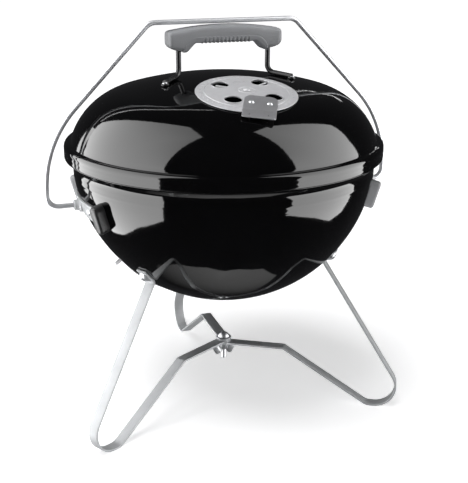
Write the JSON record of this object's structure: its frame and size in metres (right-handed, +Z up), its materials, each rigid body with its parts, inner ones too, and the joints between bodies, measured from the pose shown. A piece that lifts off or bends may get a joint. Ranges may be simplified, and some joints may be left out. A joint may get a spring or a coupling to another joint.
{
  "type": "kettle charcoal grill",
  "caption": "Portable kettle charcoal grill: enamelled bowl and domed lid with vents, nylon-grip handle, wire carrying bail and bent strap legs.",
  "frame": {"origin": "on the kettle's axis at floor level", "axes": "+Z up along the kettle's axis, +X along the lid handle and the bail's pivot axis, +Y towards the rear leg"},
  "size_m": [0.4194, 0.3999, 0.4627],
  "materials": {
    "black_enamel": "gloss",
    "aluminium_disc": "satin",
    "zinc_plate": "satin",
    "bright_wire": "polished",
    "black_rod": "satin",
    "grey_nylon": "satin",
    "grey_insert": "satin",
    "black_nylon": "satin",
    "plated_steel": "satin"
  },
  "bodies": {
    "stand": {"bowl_shell": "black_enamel", "leg_rear": "zinc_plate", "leg_front_left": "zinc_plate", "leg_front_right": "zinc_plate", "leg_bolts": "bright_wire", "leg_nuts": "zinc_plate", "hub_bolt": "bright_wire", "hub_washer": "zinc_plate", "bail_bracket_left": "zinc_plate", "bail_bracket_right": "zinc_plate", "bracket_rivets": "bright_wire", "bracket_pad_front_right": "grey_nylon", "bracket_pad_rear_right": "grey_nylon", "bracket_pad_rear_left": "grey_nylon", "bracket_pad_front_left": "black_nylon", "bowl_damper_rivets": "aluminium_disc", "grate_brackets": "black_enamel"},
    "lid": {"lid_shell": "black_enamel", "handle_rod": "black_rod", "handle_grip": "grey_nylon", "handle_grip_insert": "grey_insert", "handle_screws": "bright_wire", "handle_nuts": "zinc_plate", "lid_damper_rivet": "aluminium_disc"},
    "lid_vent": {"lid_damper_disc": "aluminium_disc", "lid_damper_tab": "aluminium_disc", "lid_damper_tab_rivets": "aluminium_disc"},
    "bail": {"bail_wire": "bright_wire"},
    "bowl_vent_right": {"bowl_damper_right": "aluminium_disc"},
    "bowl_vent_left": {"bowl_damper_left": "aluminium_disc"},
    "cooking_grate": {"cooking_grate": "plated_steel"},
    "charcoal_grate": {"charcoal_grate": "plated_steel"},
    "wing_nut": {"wing_nut": "zinc_plate"}
  },
  "joints": [
    {"name": "lid_lift", "type": "slide", "parent": "stand", "child": "lid", "axis": [0, -0.65, 0.7599], "range_m": [0, 0.144]},
    {"name": "bail_swing", "type": "hinge", "parent": "stand", "child": "bail", "pos_m": [0, 0, 0.262], "axis": [-1, 0, 0], "range_deg": [0, 120]},
    {"name": "lid_vent_turn", "type": "hinge", "parent": "lid", "child": "lid_vent", "pos_m": [0, -0.079, 0.39415], "axis": [0, -0.1797, 0.9837], "range_deg": [-45, 45]},
    {"name": "bowl_vent_right_turn", "type": "hinge", "parent": "stand", "child": "bowl_vent_right", "pos_m": [0.09471, -0.01331, 0.16573], "axis": [0.5393, -0.0758, -0.8387], "range_deg": [-60, 60]},
    {"name": "bowl_vent_left_turn", "type": "hinge", "parent": "stand", "child": "bowl_vent_left", "pos_m": [-0.09471, 0.01331, 0.16573], "axis": [-0.5393, 0.0758, -0.8387], "range_deg": [-60, 60]},
    {"name": "cooking_grate_lift", "type": "slide", "parent": "stand", "child": "cooking_grate", "axis": [0, 0, 1], "range_m": [0, 0.03]},
    {"name": "charcoal_grate_lift", "type": "slide", "parent": "stand", "child": "charcoal_grate", "axis": [0, 0, 1], "range_m": [0, 0.07]},
    {"name": "wing_nut_spin", "type": "hinge", "parent": "stand", "child": "wing_nut", "pos_m": [0, 0, 0.06], "axis": [0, 0, 1], "continuous": true}
  ],
  "couplings": [
    {"joint": "bail_swing", "follows": "lid_lift", "rad_per_m": 14.544}
  ]
}
